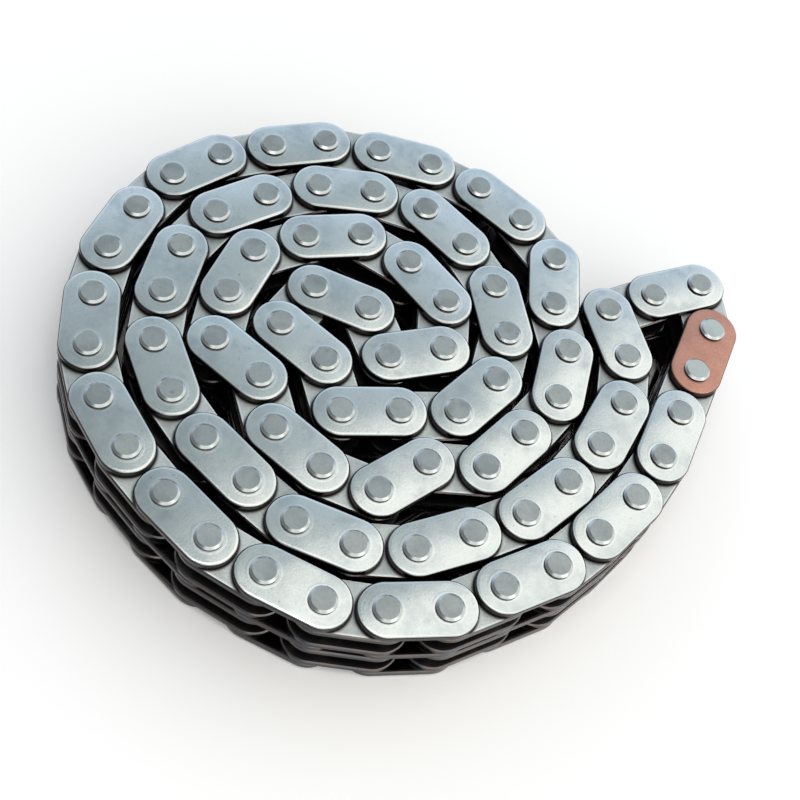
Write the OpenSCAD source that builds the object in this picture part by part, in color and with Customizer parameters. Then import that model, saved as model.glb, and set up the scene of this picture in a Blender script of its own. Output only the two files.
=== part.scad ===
// Endless duplex bush timing chain, doubled on itself and laid flat as a coil.
// Outer links are three plates on two pins; inner links are four plates on four bushes.
// Millimetres. The pins stand on z = 0 and the coil is centred on the origin.

/* [Chain] */
// Distance between neighbouring pins
pitch = 8; // [7:0.1:10]
// Clear width between the inner plates of one row, where a sprocket tooth enters
inner_width = 2.9; // [2:0.1:5]
// Play between neighbouring layers of plates
side_play = 0.045; // [0.02:0.005:0.1]

/* [Plates] */
// Thickness of the top and bottom outer plates
outer_plate_t = 1.1; // [0.6:0.05:1.4]
// Thickness of the inner plates
inner_plate_t = 1; // [0.6:0.05:1.4]
// Thickness of the centre plate between the two rows
centre_plate_t = 1; // [0.6:0.05:1.4]
// Gap between the ends of neighbouring plates in one layer
plate_end_gap = 0.4; // [0.35:0.05:0.6]
// Broken edge around each plate
plate_edge = 0.18; // [0.05:0.01:0.25]

/* [Pins and bushes] */
// Pin diameter
pin_d = 3.75; // [2.5:0.05:4.2]
// Length of pin that stands proud of an outer plate
pin_proud = 0.55; // [0.4:0.05:1]
// Width of the bevel that riveting leaves around the pin ends
pin_bevel_w = 0.35; // [0.1:0.05:0.5]
// Height of that bevel
pin_bevel_h = 0.25; // [0.1:0.05:0.35]
// Wall of the bushes, which the sprocket teeth seat on
bush_wall = 0.585; // [0.3:0.005:0.8]

/* [Fits] */
// Radial running clearance between a pin and its bush
running_fit = 0.04; // [0.02:0.005:0.08]
// Radial gap drawn at the pressed joints: pin in outer plates, bush in inner plates
press_fit = 0.01; // [0.005:0.005:0.02]

/* [Hidden] */
$fn = 72;
overcut = 0.5;

steel = [0.62, 0.64, 0.66];
bright_steel = [0.72, 0.73, 0.74];
pin_steel = [0.50, 0.51, 0.52];
bush_steel = [0.36, 0.37, 0.38];
copper = [0.70, 0.44, 0.34];

// Turn of each link from the one before it, in degrees, outward from the fold at the centre of the coil.
// The free end is the stretch of each strand that can swing away from the coil.
coil_out_turns = [
    35, 70, 45, 20, 40, 15, 40, 15, 60, -35, 35, 20, 55, -35, 45, 5, 25, 25, -15,
    40, 15, 15, 15, 5, 20, 5, 15, 20, 10, 15, 10, 15, 15, 10, 5, 15, 5
];
free_out_turns = [20, 10, 20, 0, 15, 5, 10, 10, 0];
// The same along the other strand from that fold. The two strands meet at the tip of the free end.
coil_back_turns = [
    130, 50, 75, 85, -35, 80, 0, 40, 30, 25, 20, 15, 30, 15, 20, 10, 25, 20, 10, 25, 15, 10, 5, 20
];
free_back_turns = [20, 20, 5, 15, 10, 10, 20, 25, -80, -5];

function step(heading) = pitch * [cos(heading), sin(heading)];
function turn(turns, i) = i < len(turns) ? turns[i] : 0;
// Pins along a strand that starts at the origin
function strand(turns) =
    [for (i = 0, h = turns[0], p = step(h); i < len(turns);
          i = i + 1, h = h + turn(turns, i), p = p + step(h)) p];
function backwards(list) = [for (i = [len(list) - 1:-1:0]) list[i]];
// The point one pitch from both a and b, to the right of the way from a to b
function meeting_pin(a, b) =
    let (half = (b - a) / 2, rise = sqrt(pitch * pitch - half * half))
    (a + b) / 2 + rise * [half[1], -half[0]] / norm(half);

out_pins = strand(concat(coil_out_turns, free_out_turns));
back_pins = strand(concat(coil_back_turns, free_back_turns));
tip_pin = meeting_pin(out_pins[len(out_pins) - 1], back_pins[len(back_pins) - 1]);
loop = concat([[0, 0]], back_pins, [tip_pin], backwards(out_pins));
low = [min([for (p = loop) p[0]]), min([for (p = loop) p[1]])];
high = [max([for (p = loop) p[0]]), max([for (p = loop) p[1]])];
pins = [for (p = loop) p - (low + high) / 2];

// Link j runs from pin j to pin j + 1: inner links are even, outer links are odd
links = len(pins);
function pin_at(j) = pins[j % links];
function middle(j) = (pin_at(j) + pin_at(j + 1)) / 2;
function heading(j) = let (d = pin_at(j + 1) - pin_at(j)) atan2(d[1], d[0]);
function is_outer(j) = j % 2 == 1;

// The free end of the doubled chain swings out from the coil, link by link from the base link.
// The mark link is the one at its tip.
first_free = len(coil_back_turns);
mark_link = len(back_pins) + 1;
base_link = mark_link + len(free_out_turns);
free_links = base_link - first_free + 1;
function free_link(k) = base_link + 1 - k;
function is_free(j) = j >= first_free && j <= base_link;
coil_outer = [for (j = [0:links - 1]) if (is_outer(j) && !is_free(j)) j];
coil_inner = [for (j = [0:links - 1]) if (!is_outer(j) && !is_free(j)) j];

// Heights of the layers
plate_h = pitch - plate_end_gap;
bush_length = inner_width + 2 * inner_plate_t;
bottom_plate_z = pin_proud;
lower_bush_z = bottom_plate_z + outer_plate_t + side_play;
centre_plate_z = lower_bush_z + bush_length + side_play;
upper_bush_z = centre_plate_z + centre_plate_t + side_play;
top_plate_z = upper_bush_z + bush_length + side_play;
pin_length = top_plate_z + outer_plate_t + pin_proud;
far_plate = inner_width + inner_plate_t;
inner_plate_zs = [lower_bush_z, lower_bush_z + far_plate, upper_bush_z, upper_bush_z + far_plate];
bush_zs = [lower_bush_z, upper_bush_z];

// Bushes and holes
bush_bore_d = pin_d + 2 * running_fit;
bush_d = bush_bore_d + 2 * bush_wall;
outer_hole_d = pin_d + 2 * press_fit;
inner_hole_d = bush_d + 2 * press_fit;

function two_digits(k) = str(k < 10 ? "0" : "", k);
function link_name(k) = str("link_", two_digits(k));
function plates_name(k) = str(link_name(k), is_outer(free_link(k)) ? "_outer_plates" : "_inner_plates");
function round_name(k) = str(link_name(k), is_outer(free_link(k)) ? "_pins" : "_bushes");
COIL_NODES = [
    "coil_top_plates", "coil_centre_plates", "coil_bottom_plates", "coil_pins",
    "coil_inner_plates_1", "coil_inner_plates_2", "coil_inner_plates_3", "coil_inner_plates_4",
    "coil_lower_bushes", "coil_upper_bushes"
];

// Half section of a round or straight piece with bevelled edges
module bevelled_section(width, height, bevel_w, bevel_h) {
    polygon([[0, 0], [width - bevel_w, 0], [width, bevel_h],
             [width, height - bevel_h], [width - bevel_w, height], [0, height]]);
}

module plate_section(thickness) {
    bevelled_section(plate_h / 2, thickness, plate_edge, plate_edge);
}

// A straight-sided plate with round ends about two pins
module plate(thickness, hole_d) {
    difference() {
        union() {
            for (side = [0, 1])
                rotate(180 * side)
                    translate([pitch / 2, 0])
                        rotate(-90)
                            rotate_extrude(angle = 180) plate_section(thickness);
            for (side = [0, 1])
                mirror([0, side, 0])
                    translate([-pitch / 2, 0])
                        rotate([90, 0, 90])
                            linear_extrude(pitch) plate_section(thickness);
        }
        for (x = [-pitch / 2, pitch / 2])
            translate([x, 0, -overcut]) cylinder(d = hole_d, h = thickness + 2 * overcut);
    }
}

module chain_pin() {
    rotate_extrude() bevelled_section(pin_d / 2, pin_length, pin_bevel_w, pin_bevel_h);
}

module bush() {
    difference() {
        cylinder(d = bush_d, h = bush_length);
        translate([0, 0, -overcut]) cylinder(d = bush_bore_d, h = bush_length + 2 * overcut);
    }
}

module on_link(j, z) {
    translate([middle(j)[0], middle(j)[1], z]) rotate(heading(j)) children();
}

module at_pins(j, z) {
    for (end = [j, j + 1])
        translate([pin_at(end)[0], pin_at(end)[1], z]) children();
}

// Outer plates of the given links, at the given height
module outer_plates(numbers, z, thickness) {
    for (j = numbers)
        on_link(j, z) plate(thickness, outer_hole_d);
}

module inner_plates(numbers, z) {
    for (j = numbers)
        on_link(j, z) plate(inner_plate_t, inner_hole_d);
}

module link_pins(numbers) {
    for (j = numbers)
        at_pins(j, 0) chain_pin();
}

module link_bushes(numbers, z) {
    for (j = numbers)
        at_pins(j, z) bush();
}

// The coil
module coil_top_plates() {
    color(steel) outer_plates(coil_outer, top_plate_z, outer_plate_t);
}

module coil_centre_plates() {
    color(steel) outer_plates(coil_outer, centre_plate_z, centre_plate_t);
}

module coil_bottom_plates() {
    color(steel) outer_plates(coil_outer, bottom_plate_z, outer_plate_t);
}

module coil_pins() {
    color(pin_steel) link_pins(coil_outer);
}

module coil_inner_plates(layer) {
    color(bright_steel) inner_plates(coil_inner, inner_plate_zs[layer]);
}

module coil_lower_bushes() {
    color(bush_steel) link_bushes(coil_inner, lower_bush_z);
}

module coil_upper_bushes() {
    color(bush_steel) link_bushes(coil_inner, upper_bush_z);
}

// The free end
module mark_plate() {
    color(copper) outer_plates([mark_link], top_plate_z, outer_plate_t);
}

module free_plates(k) {
    j = free_link(k);
    if (is_outer(j)) {
        color(steel) outer_plates([j], bottom_plate_z, outer_plate_t);
        color(steel) outer_plates([j], centre_plate_z, centre_plate_t);
        if (j != mark_link)
            color(steel) outer_plates([j], top_plate_z, outer_plate_t);
    } else {
        for (z = inner_plate_zs)
            color(bright_steel) inner_plates([j], z);
    }
}

module free_pins_or_bushes(k) {
    j = free_link(k);
    if (is_outer(j))
        color(pin_steel) link_pins([j]);
    else
        for (z = bush_zs)
            color(bush_steel) link_bushes([j], z);
}

coil_top_plates();
coil_centre_plates();
coil_bottom_plates();
coil_pins();
for (layer = [0:3])
    coil_inner_plates(layer);
coil_lower_bushes();
coil_upper_bushes();
mark_plate();
for (k = [1:free_links])
    free_plates(k);
for (k = [1:free_links])
    free_pins_or_bushes(k);
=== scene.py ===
"""Looks of the timing chain: satin steel links with painted shade on their sides and inner layers, and one
copper-coloured plate.
"""
import math

import bpy
from mathutils import Matrix, Vector

MM = 0.001

# Camera, fitted to the pin ends
CAMERA_ELEVATION = math.radians(56.93)
CAMERA_ROLL = math.radians(21.96)
CAMERA_DISTANCE = 193.89 * MM
CAMERA_TARGET = Vector((3.13, -5.18, 14.28)) * MM
CAMERA_LENS = 65.64
SENSOR_WIDTH = 36.0

# Studio
FLOOR_SIZE = 6.0
FLOOR_COLOUR = (0.97, 0.96, 0.96, 1)
FLOOR_ROUGHNESS = 0.9
SKY_LOW = (0.87, 1.02, 1.20, 1)
SKY_HIGH = (0.43, 0.50, 0.52, 1)
SKY_BRIGHT = (1.46, 1.43, 1.36, 1)
SKY_CORE = (1.17, 1.18, 1.13, 1)
SKY_SHADE = (0.25, 0.26, 0.27, 1)
# Heights in the sky, as sines, between which it goes from low to high
SKY_BLEND = (0.55, 0.92)
# Middle of the bright windows: compass and height angles in degrees
WINDOW = (100, 39)

# A face is level where the upright part of its normal is above the first, a wall where it is below the second
LEVEL_SLOPE = 0.9
WALL_SLOPE = 0.3

# Sizes of the chain that the marks on its plates follow
HALF_PITCH = 4.0 * MM
PLATE_HALF = 3.8 * MM
MIDDLE_HEIGHT = 7.14 * MM
# Level faces that look outward this far from the middle of the chain's depth keep their own tone, the deeper
# ones get painted shade
LEVEL_LIT_FROM = 5.2 * MM
# Edges keep the bevels' painted sheen only this far out; below that they get painted shade for a little way,
# then painted glint lines
EDGE_LIT_FROM = 6.5 * MM
EDGE_DEPTH = 0.5 * MM
# How much a plate falls away towards its ends, against its sides
END_FALL = 0.4
# The rolled rim of a plate: where it rises in from the edge, where the painted highlight along it fades, and
# its height
RIM = (0.15 * MM, 0.5 * MM)
RIM_HIGHLIGHT = (0.2 * MM, 0.5 * MM)
RIM_RELIEF = 0.02 * MM
# The faint ring around each pin: the radii over which it falls, and its height
RING = (2.1 * MM, 2.4 * MM)
RING_RELIEF = 0.006 * MM

# Widths of the features of the steel's noises, and where in the noise the stains and pits are taken
CLOUD_SIZE = 5 * MM
SPECK_SIZE = 0.3 * MM
STAIN_SIZE = 3 * MM
PIT_SIZE = 0.8 * MM
WAVE_SIZE = 8 * MM
STAIN_PLACE = (1, 0, 0)
PIT_PLACE = (2, 0, 0)
# How much the clouds and the grain change the roughness, and the height of the full grain
CLOUD_ROUGHNESS = 0.12
GRAIN_ROUGHNESS = 0.2
GRAIN_HEIGHT = 0.03 * MM

# Tones of the steel away from its outer level faces, most of them painted light and shade
# Painted shade of the walls and inner layers
PAINTED_SHADE = (0.025, 0.022, 0.022, 1)
# Lighter patches in the painted shade, standing for sheen on the dark walls
SHADE_SHEEN_PATCH = (0.072, 0.068, 0.070, 1)
# Painted glint lines on the deeper bevels, warm and bluish
SHADE_EDGE_GLINT = (0.17, 0.137, 0.128, 1)
SHADE_EDGE_GLINT_BLUE = (0.12, 0.125, 0.138, 1)
# Painted sheen tone of the plates' bevels
BEVEL_SHEEN = (0.46, 0.485, 0.485, 1)
# Painted highlight along plate rims, also a lighter worn ring around each pin
WEAR_AND_HIGHLIGHT_LINE = (0.80, 0.83, 0.82, 1)
# Painted highlight on the pins' bevels, lighter than their ends
PIN_BEVEL_HIGHLIGHT = (0.52, 0.55, 0.55, 1)
EDGE_ROUGHNESS = 0.24
# Width of the painted shadow on an inner plate around the end of the plate above it
SHADOW_RING_WIDTH = 0.45 * MM

# Tones of the copper plate
COPPER = (0.54, 0.285, 0.22, 1)
COPPER_CLOUD = (0.47, 0.245, 0.19, 1)
COPPER_SPECK = (0.36, 0.185, 0.14, 1)
# Painted shade on the copper plate's walls
COPPER_WALL_SHADE = (0.07, 0.038, 0.032, 1)
COPPER_CLOUD_SIZE = 3 * MM
COPPER_GRAIN_HEIGHT = 0.01 * MM
COPPER_CROWN = 0.08

# Picks how the links lean
LEAN_SEED = 7

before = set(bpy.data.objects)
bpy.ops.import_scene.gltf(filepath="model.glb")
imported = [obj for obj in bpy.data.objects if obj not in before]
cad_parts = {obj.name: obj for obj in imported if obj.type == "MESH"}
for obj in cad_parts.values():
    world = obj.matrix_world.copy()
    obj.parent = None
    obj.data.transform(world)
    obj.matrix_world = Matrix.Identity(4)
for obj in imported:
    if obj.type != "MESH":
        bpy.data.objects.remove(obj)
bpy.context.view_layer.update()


class Nodes:
    """A node tree, with one short call for each kind of node."""

    def __init__(self, tree):
        self.tree = tree

    def add(self, kind, **settings):
        node = self.tree.nodes.new(kind)
        for name, value in settings.items():
            setattr(node, name, value)
        return node

    def put(self, value, socket):
        """Sets a socket to a plain value, or links it where the value is another node's output."""
        if isinstance(value, bpy.types.NodeSocket):
            self.tree.links.new(value, socket)
        else:
            socket.default_value = value

    def math(self, operation, a, b=0.0):
        node = self.add("ShaderNodeMath", operation=operation)
        self.put(a, node.inputs[0])
        self.put(b, node.inputs[1])
        return node.outputs[0]

    def vector(self, operation, a, b=(0, 0, 0), output="Vector"):
        node = self.add("ShaderNodeVectorMath", operation=operation)
        self.put(a, node.inputs[0])
        self.put(b, node.inputs[1])
        return node.outputs[output]

    def scale(self, vector, amount):
        node = self.add("ShaderNodeVectorMath", operation="SCALE")
        self.put(vector, node.inputs[0])
        self.put(amount, node.inputs["Scale"])
        return node.outputs["Vector"]

    def split(self, vector):
        node = self.add("ShaderNodeSeparateXYZ")
        self.put(vector, node.inputs[0])
        return node.outputs[0], node.outputs[1], node.outputs[2]

    def join(self, x, y, z=0.0):
        node = self.add("ShaderNodeCombineXYZ")
        for value, socket in zip((x, y, z), node.inputs):
            self.put(value, socket)
        return node.outputs[0]

    def length(self, x, y):
        return self.vector("LENGTH", self.join(x, y), output="Value")

    def stretch(self, value, low, high, to_low=0.0, to_high=1.0):
        """Maps low..high smoothly to to_low..to_high."""
        node = self.add("ShaderNodeMapRange", interpolation_type="SMOOTHSTEP")
        for name, number in (("Value", value), ("From Min", low), ("From Max", high),
                             ("To Min", to_low), ("To Max", to_high)):
            self.put(number, node.inputs[name])
        return node.outputs["Result"]

    def mix(self, factor, a, b):
        node = self.add("ShaderNodeMix", data_type="RGBA")
        self.put(factor, node.inputs["Factor"])
        self.put(a, node.inputs[6])
        self.put(b, node.inputs[7])
        return node.outputs[2]

    def noise(self, place, size, detail=2.0, roughness=0.5):
        """Noise whose features are about as wide as the given size."""
        node = self.add("ShaderNodeTexNoise")
        self.put(place, node.inputs["Vector"])
        self.put(1 / size, node.inputs["Scale"])
        self.put(detail, node.inputs["Detail"])
        self.put(roughness, node.inputs["Roughness"])
        return node.outputs["Fac"]

    def bump(self, height, distance, normal):
        node = self.add("ShaderNodeBump")
        self.put(distance, node.inputs["Distance"])
        self.put(height, node.inputs["Height"])
        self.put(normal, node.inputs["Normal"])
        return node.outputs["Normal"]

    def mark(self, name):
        return self.add("ShaderNodeAttribute", attribute_name=name).outputs["Vector"]

    def way(self, name):
        """A marked direction, turned with its link."""
        node = self.add("ShaderNodeVectorTransform", vector_type="VECTOR",
                        convert_from="OBJECT", convert_to="WORLD")
        self.put(self.mark(name), node.inputs[0])
        return node.outputs[0]


def total_of(nodes, value, kind, group):
    """Total of a value over each group of points."""
    node = nodes.add("GeometryNodeAccumulateField", data_type=kind, domain="POINT")
    nodes.put(value, node.inputs["Value"])
    nodes.put(group, node.inputs["Group ID"])
    return node.outputs["Total"]


def store(nodes, geometry, name, value):
    node = nodes.add("GeometryNodeStoreNamedAttribute", data_type="FLOAT_VECTOR", domain="POINT")
    nodes.put(geometry, node.inputs["Geometry"])
    nodes.put(name, node.inputs["Name"])
    nodes.put(value, node.inputs["Value"])
    return node.outputs["Geometry"]


def new_face_marks():
    """Geometry nodes that mark each face with its long way, places along and across it, and a lean."""
    tree = bpy.data.node_groups.new("face_marks", "GeometryNodeTree")
    for side in ("INPUT", "OUTPUT"):
        tree.interface.new_socket("Geometry", in_out=side, socket_type="NodeSocketGeometry")
    nodes = Nodes(tree)
    geometry = nodes.add("NodeGroupInput").outputs["Geometry"]
    place = nodes.add("GeometryNodeInputPosition").outputs[0]
    face = nodes.add("GeometryNodeInputMeshIsland").outputs["Island Index"]

    count = total_of(nodes, 1.0, "FLOAT", face)
    middle = nodes.scale(total_of(nodes, place, "FLOAT_VECTOR", face), nodes.math("DIVIDE", 1.0, count))
    offset = nodes.vector("SUBTRACT", place, middle)

    # The long way comes from the second moments of the face's points
    x, y, _ = nodes.split(offset)
    squares = nodes.math("SUBTRACT", nodes.math("MULTIPLY", x, x), nodes.math("MULTIPLY", y, y))
    products = nodes.math("MULTIPLY", nodes.math("MULTIPLY", x, y), 2.0)
    rise, run = (total_of(nodes, moment, "FLOAT", face) for moment in (products, squares))
    half_angle = nodes.math("MULTIPLY", nodes.math("ARCTAN2", rise, run), 0.5)
    cosine = nodes.math("COSINE", half_angle)
    sine = nodes.math("SINE", half_angle)
    along = nodes.join(cosine, sine)
    across = nodes.join(nodes.math("MULTIPLY", sine, -1.0), cosine)
    local = nodes.join(nodes.vector("DOT_PRODUCT", offset, along, "Value"),
                       nodes.vector("DOT_PRODUCT", offset, across, "Value"))

    dice = nodes.add("FunctionNodeRandomValue", data_type="FLOAT_VECTOR")
    nodes.put((-1, -1, 0), dice.inputs["Min"])
    nodes.put((1, 1, 0), dice.inputs["Max"])
    nodes.put(face, dice.inputs["ID"])
    nodes.put(LEAN_SEED, dice.inputs["Seed"])
    marks = {"along": along, "across": across, "local": local, "lean": dice.outputs["Value"]}
    for name, value in marks.items():
        geometry = store(nodes, geometry, name, value)
    nodes.put(geometry, nodes.add("NodeGroupOutput").inputs["Geometry"])
    return tree


class Face:
    """What a material knows about the face it is on."""

    def __init__(self, nodes):
        self.nodes = nodes
        geometry = nodes.add("ShaderNodeNewGeometry")
        self.normal = geometry.outputs["Normal"]
        self.place = nodes.add("ShaderNodeTexCoord").outputs["Object"]
        slope = nodes.split(geometry.outputs["True Normal"])[2]
        level = nodes.math("ABSOLUTE", slope)
        self.is_level = nodes.math("GREATER_THAN", level, LEVEL_SLOPE)
        self.is_wall = nodes.math("LESS_THAN", level, WALL_SLOPE)
        height = nodes.math("SUBTRACT", nodes.split(self.place)[2], MIDDLE_HEIGHT)
        outward = nodes.math("MULTIPLY", height, nodes.math("SIGN", slope))
        # Outer faces keep their own tone; walls and deeper faces get painted shade
        level_lift = nodes.math("MULTIPLY", self.is_level, EDGE_LIT_FROM - LEVEL_LIT_FROM)
        is_out = nodes.math("GREATER_THAN", nodes.math("ADD", outward, level_lift), EDGE_LIT_FROM)
        self.is_unshaded = nodes.math("MULTIPLY", is_out, nodes.math("SUBTRACT", 1.0, self.is_wall))
        self.is_lower_edge = nodes.math("LESS_THAN", outward, EDGE_LIT_FROM - EDGE_DEPTH)

    def measure_plate(self):
        """Distances to the rim of the plate and to the axis of the nearer pin."""
        nodes = self.nodes
        self.u, self.v, _ = nodes.split(nodes.mark("local"))
        past_pin = nodes.math("SUBTRACT", nodes.math("ABSOLUTE", self.u), HALF_PITCH)
        self.to_pin = nodes.length(past_pin, self.v)
        end = nodes.math("MAXIMUM", past_pin, 0.0)
        self.to_rim = nodes.math("SUBTRACT", PLATE_HALF, nodes.length(end, self.v))

    def shape_plate(self, crown):
        """Crowns the plate, rolls its rim down a little and raises a ring around each pin."""
        nodes = self.nodes
        sideways = nodes.scale(nodes.way("across"), nodes.math("MULTIPLY", self.v, crown / PLATE_HALF))
        end_fall = nodes.math("MULTIPLY", self.u, END_FALL * crown / PLATE_HALF)
        self.tip(nodes.vector("ADD", sideways, nodes.scale(nodes.way("along"), end_fall)))
        rim = nodes.stretch(self.to_rim, *RIM)
        ring = nodes.stretch(self.to_pin, *RING, 1.0, 0.0)
        self.normal = nodes.bump(nodes.math("MULTIPLY", rim, self.is_level), RIM_RELIEF, self.normal)
        self.normal = nodes.bump(nodes.math("MULTIPLY", ring, self.is_level), RING_RELIEF, self.normal)

    def lean(self, amount):
        """Leans each face a little its own way, as links lie in a slack chain."""
        self.tip(self.nodes.scale(self.nodes.way("lean"), amount))

    def tip(self, way):
        nodes = self.nodes
        tipped = nodes.vector("ADD", self.normal, nodes.scale(way, self.is_level))
        self.normal = nodes.vector("NORMALIZE", tipped)


def new_surface(name, metallic):
    """A material with a bare principled shader."""
    material = bpy.data.materials.new(name)
    material.use_nodes = True
    nodes = Nodes(material.node_tree)
    shader = material.node_tree.nodes["Principled BSDF"]
    shader.inputs["Metallic"].default_value = metallic
    return material, nodes, shader


def steel(name, face, smudge, edge, roughness, grain, lean, wave, wall=PAINTED_SHADE, crown=0.0, is_under=False):
    """Satin steel: smudged and grained level faces, outer edges with a painted sheen, painted shade on walls
    and inner layers.
    """
    material, nodes, shader = new_surface(name, metallic=1.0)
    on = Face(nodes)
    cloud = nodes.noise(on.place, CLOUD_SIZE, detail=4, roughness=0.6)
    speck = nodes.noise(on.place, SPECK_SIZE, detail=3, roughness=0.65)
    stain = nodes.noise(nodes.vector("ADD", on.place, STAIN_PLACE), STAIN_SIZE, detail=3, roughness=0.55)
    pit = nodes.noise(nodes.vector("ADD", on.place, PIT_PLACE), PIT_SIZE, detail=1)

    # Level faces
    stained = tuple(0.7 * part for part in smudge[:3]) + (1,)
    tone = nodes.mix(nodes.stretch(cloud, 0.42, 0.72), face, smudge)
    tone = nodes.mix(nodes.stretch(stain, 0.55, 0.80, 0.0, 0.5), tone, stained)
    tone = nodes.mix(nodes.stretch(pit, 0.70, 0.80, 0.0, 0.5), tone, stained)
    tone = nodes.mix(nodes.math("MULTIPLY", nodes.stretch(speck, 0.40, 0.75), grain), tone, smudge)
    if crown:
        on.measure_plate()
        # A painted highlight along the rim and a lighter worn ring around each pin
        tone = nodes.mix(nodes.stretch(on.to_rim, *RIM_HIGHLIGHT, 0.5, 0.0), tone, WEAR_AND_HIGHLIGHT_LINE)
        tone = nodes.mix(nodes.stretch(on.to_pin, *RING, 0.3, 0.0), tone, WEAR_AND_HIGHLIGHT_LINE)
        on.shape_plate(crown)
    if is_under:
        # Painted shadow on an inner plate around the end of the plate above it
        painted_shadow_ring = nodes.stretch(on.to_pin, PLATE_HALF, PLATE_HALF + SHADOW_RING_WIDTH, 1.0, 0.0)
        tone = nodes.mix(painted_shadow_ring, tone, PAINTED_SHADE)
    # Bevels take the edge tone: painted sheen on the plates, painted highlight on the pins, painted shade on
    # the bushes
    lit_tone = nodes.mix(on.is_level, edge, tone)

    # Painted shade on walls and inner layers, with lighter painted sheen patches and painted glint lines on
    # the deeper edges
    # Painted glint lines on the deeper bevels, warm or bluish by the stain noise
    edge_glint = nodes.mix(nodes.stretch(stain, 0.40, 0.60), SHADE_EDGE_GLINT, SHADE_EDGE_GLINT_BLUE)
    is_flat = nodes.math("ADD", on.is_wall, on.is_level)
    is_line = nodes.math("MULTIPLY", nodes.math("SUBTRACT", 1.0, is_flat), on.is_lower_edge)
    # Painted shade with lighter cloudy patches of painted sheen
    patchy = nodes.mix(nodes.stretch(cloud, 0.48, 0.75), wall, SHADE_SHEEN_PATCH)
    shaded = nodes.mix(is_line, patchy, edge_glint)
    nodes.put(nodes.mix(on.is_unshaded, shaded, lit_tone), shader.inputs["Base Color"])

    # Edges and walls have a roughness of their own
    least = roughness - CLOUD_ROUGHNESS / 2 - EDGE_ROUGHNESS
    cloudy = nodes.math("ADD", nodes.math("MULTIPLY", cloud, CLOUD_ROUGHNESS), least)
    grained = nodes.math("ADD", cloudy, nodes.math("MULTIPLY", speck, grain * GRAIN_ROUGHNESS))
    level_part = nodes.math("MULTIPLY", grained, on.is_level)
    nodes.put(nodes.math("ADD", level_part, EDGE_ROUGHNESS), shader.inputs["Roughness"])

    on.lean(lean)
    waved = nodes.bump(nodes.noise(on.place, WAVE_SIZE, detail=1), wave, on.normal)
    nodes.put(nodes.bump(speck, grain * GRAIN_HEIGHT, waved), shader.inputs["Normal"])
    return material


def copper(name):
    """Matt copper wash on a steel plate, fine grained, with painted shade on its walls."""
    material, nodes, shader = new_surface(name, metallic=1.0)
    on = Face(nodes)
    speck = nodes.noise(on.place, SPECK_SIZE, detail=3, roughness=0.6)
    cloud = nodes.noise(on.place, COPPER_CLOUD_SIZE, detail=3, roughness=0.6)
    tone = nodes.mix(nodes.stretch(cloud, 0.35, 0.7), COPPER, COPPER_CLOUD)
    tone = nodes.mix(nodes.stretch(speck, 0.4, 0.7, 0.0, 0.35), tone, COPPER_SPECK)
    on.measure_plate()
    on.shape_plate(COPPER_CROWN)
    nodes.put(nodes.mix(on.is_unshaded, COPPER_WALL_SHADE, tone), shader.inputs["Base Color"])
    nodes.put(nodes.stretch(speck, 0.3, 0.7, 0.36, 0.48), shader.inputs["Roughness"])
    nodes.put(nodes.bump(speck, COPPER_GRAIN_HEIGHT, on.normal), shader.inputs["Normal"])
    return material


MATERIALS = {
    "outer_plates": steel("outer_plate_steel", face=(0.63, 0.67, 0.665, 1), smudge=(0.47, 0.52, 0.535, 1),
                          edge=BEVEL_SHEEN, roughness=0.17, grain=0.3, lean=0.03, wave=0.15 * MM, crown=0.07),
    "inner_plates": steel("inner_plate_steel", face=(0.54, 0.575, 0.565, 1), smudge=(0.36, 0.39, 0.385, 1),
                          edge=BEVEL_SHEEN, roughness=0.40, grain=0.7, lean=0.02, wave=0.15 * MM, crown=0.02,
                          is_under=True),
    "pins": steel("pin_steel", face=(0.35, 0.38, 0.375, 1), smudge=(0.25, 0.275, 0.275, 1),
                  edge=PIN_BEVEL_HIGHLIGHT, roughness=0.40, grain=0.5, lean=0.06, wave=0.1 * MM),
    "mark_pins": steel("mark_pin_steel", face=(0.46, 0.50, 0.495, 1), smudge=(0.36, 0.39, 0.39, 1),
                       edge=PIN_BEVEL_HIGHLIGHT, roughness=0.40, grain=0.5, lean=0.06, wave=0.1 * MM),
    # The bushes lie deep between the plates; their dark tones are painted shade
    "bushes": steel("bush_steel", face=(0.08, 0.085, 0.09, 1), smudge=(0.05, 0.055, 0.06, 1), edge=PAINTED_SHADE,
                    roughness=0.30, grain=0.2, lean=0.02, wave=0.1 * MM, wall=(0.03, 0.03, 0.032, 1)),
    "mark_plate": copper("mark_copper"),
}
MARK_PINS = "link_10_pins"


def finish_of(node_name):
    if node_name == "mark_plate":
        return "mark_plate"
    if node_name == MARK_PINS:
        return "mark_pins"
    if node_name.endswith("pins"):
        return "pins"
    if node_name.endswith("bushes"):
        return "bushes"
    return "inner_plates" if "inner" in node_name else "outer_plates"


FACE_MARKS = new_face_marks()
for node_name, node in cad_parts.items():
    material = MATERIALS[finish_of(node_name)]
    for material_slot in node.material_slots:
        material_slot.link = "OBJECT"
        material_slot.material = material
    node.modifiers.new("face_marks", "NODES").node_group = FACE_MARKS


def add_floor():
    bpy.ops.mesh.primitive_plane_add(size=FLOOR_SIZE)
    floor = bpy.context.object
    floor.name = "floor"
    material, _, shader = new_surface("floor_paper", metallic=0.0)
    shader.inputs["Base Color"].default_value = FLOOR_COLOUR
    shader.inputs["Roughness"].default_value = FLOOR_ROUGHNESS
    floor.data.materials.append(material)


def toward(compass, height):
    """A direction: its compass angle from +Y towards +X and its height angle above the floor, in degrees."""
    turn, rise = math.radians(compass), math.radians(height)
    return Vector((math.sin(turn) * math.cos(rise), math.cos(turn) * math.cos(rise), math.sin(rise)))


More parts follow.
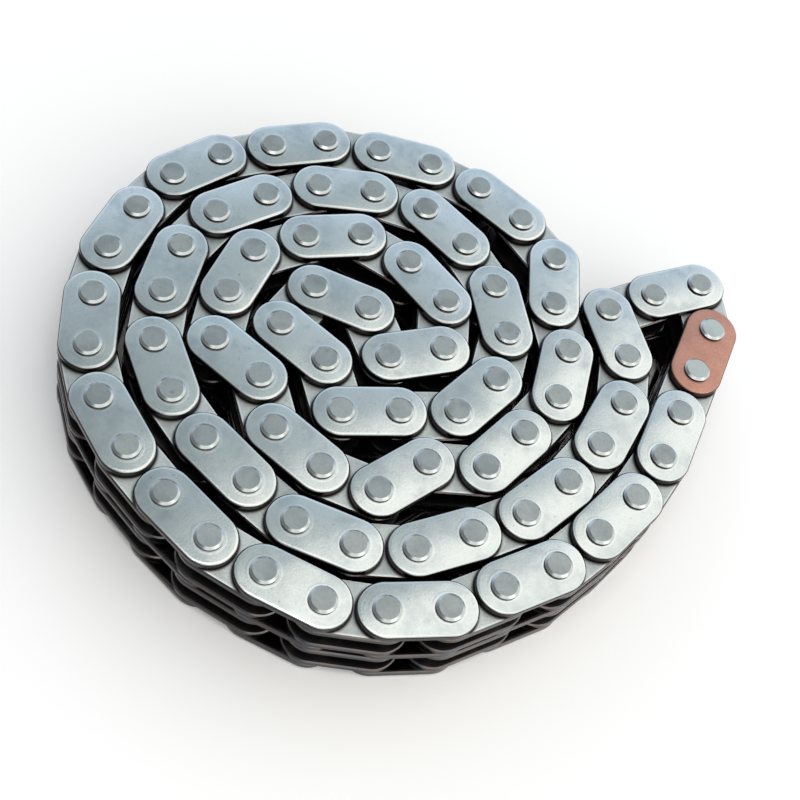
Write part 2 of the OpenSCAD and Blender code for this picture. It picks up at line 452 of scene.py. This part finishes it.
def add_softbox(name, compass, height, distance, width, depth, radiance, colour=(1, 1, 1)):
    """A soft lamp aimed at the object."""
    lamp = bpy.data.lights.new(name, "AREA")
    lamp.shape = "RECTANGLE"
    lamp.size = width
    lamp.size_y = depth
    lamp.color = colour
    lamp.energy = radiance * math.pi * width * depth
    softbox = bpy.data.objects.new(name, lamp)
    way = toward(compass, height)
    softbox.location = way * distance
    softbox.rotation_euler = way.to_track_quat("Z", "Y").to_euler()
    bpy.context.scene.collection.objects.link(softbox)


def disc(nodes, way, compass, height, radius, fade):
    """One inside a round patch of sky and nought outside it, with its edge blurred by the fade each way."""
    outer, inner = (math.cos(math.radians(radius + sign * fade)) for sign in (1, -1))
    return nodes.stretch(nodes.vector("DOT_PRODUCT", way, toward(compass, height), "Value"), outer, inner)


def add_sky():
    """A dim bluish room, shaded at the front left, with windows along the right, brightest at their rim."""
    world = bpy.data.worlds.new("studio")
    world.use_nodes = True
    bpy.context.scene.world = world
    nodes = Nodes(world.node_tree)
    way = nodes.add("ShaderNodeTexCoord").outputs["Generated"]
    sky = nodes.mix(nodes.stretch(nodes.split(way)[2], *SKY_BLEND), SKY_LOW, SKY_HIGH)
    sky = nodes.mix(disc(nodes, way, compass=235, height=25, radius=50, fade=30), sky, SKY_SHADE)
    sky = nodes.mix(disc(nodes, way, *WINDOW, radius=59.5, fade=3.5), sky, SKY_BRIGHT)
    sky = nodes.mix(disc(nodes, way, *WINDOW, radius=46, fade=6), sky, SKY_CORE)
    nodes.put(sky, world.node_tree.nodes["Background"].inputs["Color"])


def add_camera():
    forward = Vector((0, math.cos(CAMERA_ELEVATION), -math.sin(CAMERA_ELEVATION)))
    right = Vector((1, 0, 0))
    up = right.cross(forward)
    across = math.cos(CAMERA_ROLL) * right + math.sin(CAMERA_ROLL) * up
    upward = math.cos(CAMERA_ROLL) * up - math.sin(CAMERA_ROLL) * right
    data = bpy.data.cameras.new("camera")
    data.lens = CAMERA_LENS
    data.sensor_width = SENSOR_WIDTH
    data.clip_start = MM
    camera = bpy.data.objects.new("camera", data)
    turned = Matrix((across, upward, -forward)).transposed().to_4x4()
    camera.matrix_world = Matrix.Translation(CAMERA_TARGET - forward * CAMERA_DISTANCE) @ turned
    bpy.context.scene.collection.objects.link(camera)
    bpy.context.scene.camera = camera


add_floor()
add_sky()
add_softbox("overhead_softbox", compass=180, height=78, distance=0.7, width=0.4, depth=0.3, radiance=2.7,
            colour=(1, 0.97, 0.94))
add_softbox("right_softbox", compass=110, height=30, distance=0.8, width=0.5, depth=0.3, radiance=1.0)
add_camera()
bpy.context.scene.view_settings.view_transform = "Standard"
